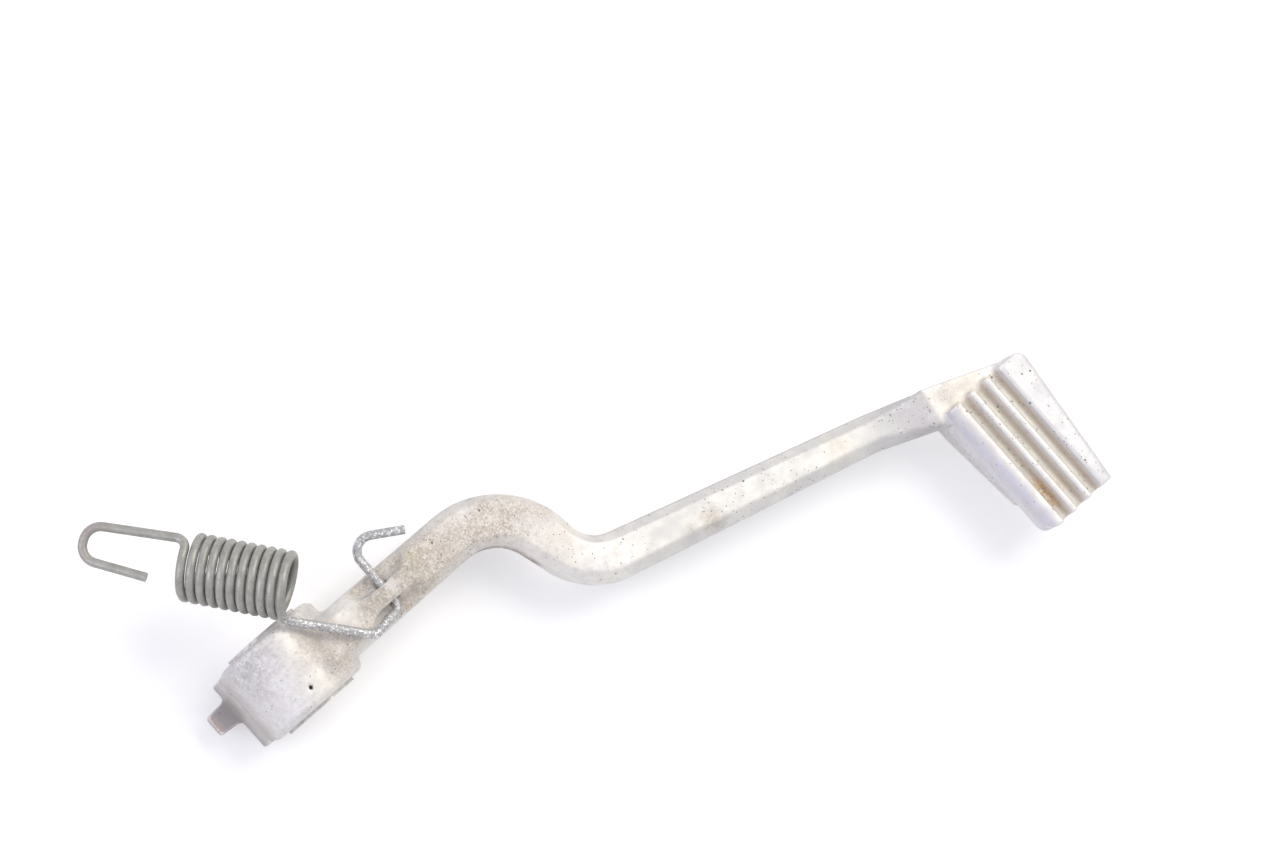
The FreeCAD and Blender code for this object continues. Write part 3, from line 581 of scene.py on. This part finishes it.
def settle(piece):
    """Turns the piece's modifiers into plain mesh."""
    graph = bpy.context.evaluated_depsgraph_get()
    finished = bpy.data.meshes.new_from_object(piece.evaluated_get(graph))
    piece.modifiers.clear()
    piece.data = finished
    for polygon in finished.polygons:
        polygon.use_smooth = True


def soften(piece, iterations, group=""):
    smooth = piece.modifiers.new("worn edges", "SMOOTH")
    smooth.factor = SMOOTHING_FACTOR
    smooth.iterations = iterations
    smooth.vertex_group = group


def trim_under_web(piece):
    """Draws the run-out under the web in to the web's own slanted edge."""
    way = WEB_EDGE_END - WEB_EDGE_START
    for vertex in piece.data.vertices:
        spot = vertex.co
        if spot.z < WEB_UNDERSIDE and WEB_EDGE_START.x < spot.x < WEB_EDGE_END.x:
            share = (spot.x - WEB_EDGE_START.x) / way.x
            spot.y = min(spot.y, WEB_EDGE_START.y + share * way.y)


def soft_lever(source):
    """The solid's own form with worn edges, and softer still round the spring hole."""
    piece = worn_copy(source, "worn_lever")
    remesh = piece.modifiers.new("even mesh", "REMESH")
    remesh.mode = "VOXEL"
    remesh.voxel_size = LEVER_VOXEL
    soften(piece, EDGE_SMOOTHING)
    settle(piece)
    scoops = piece.vertex_groups.new(name="scoops")
    for vertex in piece.data.vertices:
        away = (vertex.co - SCOOP_CENTRE).length / SCOOP_REACH
        if away < 1:
            scoops.add([vertex.index], min(1.0, SCOOP_FADE * (1 - away)), "REPLACE")
    soften(piece, SCOOP_SMOOTHING, "scoops")
    settle(piece)
    trim_under_web(piece)
    return piece


# Spring as shown: one round wire bent into two hooks and a coil. Lengths here are millimetres.
WIRE_RADIUS = 1.48
WIRE_ROUNDNESS = 5
BEND_RADIUS = 3.4
BEND_STEPS = 9
COIL_RADIUS = 9.6
COIL_PITCH = 3.2
COIL_TURNS = 10.25
COIL_STEPS = 36
COIL_START_ANGLE = math.radians(343.0)
COIL_HEADING = math.radians(-54.52)
COIL_RISE = math.radians(16.62)
COIL_END = Vector((13.74, 19.51, 21.88))
COIL_AXIS = Vector((
    math.cos(COIL_RISE) * math.cos(COIL_HEADING),
    math.cos(COIL_RISE) * math.sin(COIL_HEADING),
    math.sin(COIL_RISE),
))
COIL_UP = (Vector((0, 0, 1)) - COIL_AXIS * COIL_AXIS.z).normalized()
COIL_SIDE = COIL_AXIS.cross(COIL_UP)
COIL_START = COIL_END - COIL_AXIS * COIL_PITCH * COIL_TURNS
FAR_LEG_OFFSET = 4.4
FAR_HOOK_RADIUS = 5.3
FAR_HOOK_TIP = COIL_START + Vector((-12.4, 5.4, 4.3))
FAR_HOOK_LOW = COIL_START + Vector((-23.5, 23.7, -0.4))
FAR_HOOK_TOP = COIL_START + Vector((-14.7, 29.6, 1.1))
NEAR_LEG_OFFSET = 4.2
REST_BEND = Vector((25.2, -9.0, 13.9))
HOLE_BEND = Vector((38.2, -7.4, 7.0))
NEAR_HOOK_CORNER = Vector((38.2, 20.4, 7.0))
NEAR_HOOK_TIP = Vector((54.4, 10.0, 12.0))
NEAR_HOOK_RADIUS = 5.0


def coil_spot(turns):
    """Point of the coil's centreline after so many turns."""
    angle = COIL_START_ANGLE + 2 * math.pi * turns
    out = COIL_UP * math.cos(angle) + COIL_SIDE * math.sin(angle)
    return COIL_START + COIL_AXIS * COIL_PITCH * turns + out * COIL_RADIUS


def rounded(corners, radii):
    """Points of a line through the corners, with an arc of the given radius at each inner one."""
    points = [corners[0]]
    for before, corner, after, radius in zip(corners, corners[1:], corners[2:], radii):
        back = (before - corner).normalized()
        ahead = (after - corner).normalized()
        half = back.angle(ahead) / 2
        centre = corner + (back + ahead).normalized() * (radius / math.sin(half))
        first = corner + back * (radius / math.tan(half)) - centre
        last = corner + ahead * (radius / math.tan(half)) - centre
        for step in range(BEND_STEPS + 1):
            points.append(centre + first.slerp(last, step / BEND_STEPS).normalized() * radius)
    points.append(corners[-1])
    return points


def wire_route():
    """Points of the wire's centreline, from the far hook's tip to the near hook's tip."""
    nudge = 0.001
    first = coil_spot(0)
    first_way = (coil_spot(nudge) - first).normalized()
    last = coil_spot(COIL_TURNS)
    last_way = (last - coil_spot(COIL_TURNS - nudge)).normalized()
    far_corners = [
        FAR_HOOK_TIP, FAR_HOOK_LOW, FAR_HOOK_TOP,
        first - first_way * FAR_LEG_OFFSET, first,
    ]
    near_corners = [
        last, last + last_way * NEAR_LEG_OFFSET,
        REST_BEND, HOLE_BEND, NEAR_HOOK_CORNER, NEAR_HOOK_TIP,
    ]
    far_hook = rounded(far_corners, [FAR_HOOK_RADIUS, FAR_HOOK_RADIUS, BEND_RADIUS])
    near_hook = rounded(near_corners, [BEND_RADIUS, BEND_RADIUS, BEND_RADIUS, NEAR_HOOK_RADIUS])
    steps = int(COIL_STEPS * COIL_TURNS)
    coil = [coil_spot(COIL_TURNS * step / steps) for step in range(1, steps)]
    return far_hook + coil + near_hook


def round_spring():
    curve = bpy.data.curves.new("wire", "CURVE")
    curve.dimensions = "3D"
    curve.bevel_depth = WIRE_RADIUS * MM
    curve.bevel_resolution = WIRE_ROUNDNESS
    curve.use_fill_caps = True
    route = wire_route()
    line = curve.splines.new("POLY")
    line.points.add(len(route) - 1)
    for point, spot in zip(line.points, route):
        point.co = (*(spot * MM), 1.0)
    bent_wire = bpy.data.objects.new("bent_wire", curve)
    graph = bpy.context.evaluated_depsgraph_get()
    scene.collection.objects.link(bent_wire)
    graph.update()
    mesh = bpy.data.meshes.new_from_object(bent_wire.evaluated_get(graph))
    bpy.data.objects.remove(bent_wire)
    for polygon in mesh.polygons:
        polygon.use_smooth = len(polygon.vertices) == 4
    piece = bpy.data.objects.new("round_wire_spring", mesh)
    scene.collection.objects.link(piece)
    return piece


lever_metal = forged_aluminium()
wear(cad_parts["brake_lever"], lever_metal)
lever = soft_lever(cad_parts["brake_lever"])
wear(lever, lever_metal)
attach(lever, "lever")
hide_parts("brake_lever")
bush_metal = worn_bush()
wear(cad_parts["pivot_bush_inboard"], bush_metal)
wear(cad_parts["pivot_bush_outboard"], bush_metal)
wire_metal = spring_wire()
wear(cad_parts["return_spring"], wire_metal)
spring = round_spring()
wear(spring, wire_metal)
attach(spring, "spring")
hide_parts("return_spring")

WHITE = (1.0, 1.0, 1.0)
FLOOR_COLOUR = (0.87, 0.87, 0.86)
FLOOR_GLOW = 0.50
FLOOR_GLOW_LOST_CLOSE_BY = 0.23


def pale_floor():
    """A pale sheet that looks white to the camera and still takes soft shadows."""
    t = MaterialTree("pale_floor")
    diffuse = t.nodes.new("ShaderNodeBsdfDiffuse")
    t.feed(diffuse.inputs["Color"], FLOOR_COLOUR)
    close = t.near((100.0, -30.0, 0.0), 350.0, 1400.0)
    strength = t.sub(FLOOR_GLOW, t.mul(close, FLOOR_GLOW_LOST_CLOSE_BY))
    glow = t.nodes.new("ShaderNodeEmission")
    t.feed(glow.inputs["Color"], WHITE)
    t.feed(glow.inputs["Strength"], t.mul(t.looked_at(), strength))
    both = t.nodes.new("ShaderNodeAddShader")
    t.links.new(diffuse.outputs[0], both.inputs[0])
    t.links.new(glow.outputs[0], both.inputs[1])
    t.show(both)
    return t.material


floor_mesh = bpy.data.meshes.new("floor")
corners = [(x * FLOOR_REACH, y * FLOOR_REACH, 0) for x, y in ((-1, -1), (1, -1), (1, 1), (-1, 1))]
floor_mesh.from_pydata(corners, [], [(0, 1, 2, 3)])
floor = bpy.data.objects.new("floor", floor_mesh)
scene.collection.objects.link(floor)
floor.location = (0, 0, FLOOR_LEVEL)
wear(floor, pale_floor())

# World: soft even light, plain white where the camera or a reflection looks at it
SOFT_LIGHT_COLOUR = (0.83, 0.83, 0.90)
SOFT_LIGHT_STRENGTH = 0.70


def background(tree, colour, strength):
    node = tree.nodes.new("ShaderNodeBackground")
    tree.feed(node.inputs["Color"], colour)
    tree.feed(node.inputs["Strength"], strength)
    return node.outputs[0]


world = bpy.data.worlds.new("studio")
scene.world = world
world.use_nodes = True
sky = Tree(world.node_tree, "ShaderNodeOutputWorld")
choose = sky.nodes.new("ShaderNodeMixShader")
sky.links.new(sky.looked_at(), choose.inputs[0])
sky.links.new(background(sky, SOFT_LIGHT_COLOUR, SOFT_LIGHT_STRENGTH), choose.inputs[1])
sky.links.new(background(sky, WHITE, 1.0), choose.inputs[2])
sky.show(choose)

# Lamps: both square, both turned to the middle of the part
LAMP_WIDTH = 0.9
LAMP_TARGET = Vector((0.10, -0.03, 0.0))


def area_light(name, position, power, colour):
    data = bpy.data.lights.new(name, "AREA")
    data.shape = "SQUARE"
    data.size = LAMP_WIDTH
    data.energy = power
    data.color = colour
    light = bpy.data.objects.new(name, data)
    scene.collection.objects.link(light)
    light.location = position
    way = LAMP_TARGET - Vector(position)
    light.rotation_euler = way.to_track_quat("-Z", "Y").to_euler()


area_light("warm_front", (0.95, 0.10, 1.15), 9.6, (1.0, 0.955, 0.88))
area_light("cool_rear", (-0.9, 0.5, 0.8), 6.1, (0.86, 0.85, 1.0))

# Camera: found from the photo's perspective; right and down are the picture's own directions
CAMERA_TILT = math.radians(16.0)
CAMERA_TURN = math.radians(41.3)
CAMERA_PLACE = Vector((-148.407, -14.492, 997.744)) * MM

toward_camera = Vector((-math.sin(CAMERA_TILT), 0, math.cos(CAMERA_TILT)))
ahead = Vector((1, 0, 0)) - toward_camera * toward_camera.x
ahead.normalize()
aside = ahead.cross(toward_camera)
right = ahead * math.cos(CAMERA_TURN) + aside * math.sin(CAMERA_TURN)
down = -ahead * math.sin(CAMERA_TURN) + aside * math.cos(CAMERA_TURN)
camera_data = bpy.data.cameras.new("camera")
camera_data.sensor_width = 36.0
camera_data.lens = 90.0
camera_data.clip_start = 0.05
camera_data.clip_end = 30.0
camera = bpy.data.objects.new("camera", camera_data)
scene.collection.objects.link(camera)
axes = Matrix((right, -down, toward_camera)).transposed().to_4x4()
camera.matrix_world = Matrix.Translation(CAMERA_PLACE) @ axes
scene.camera = camera
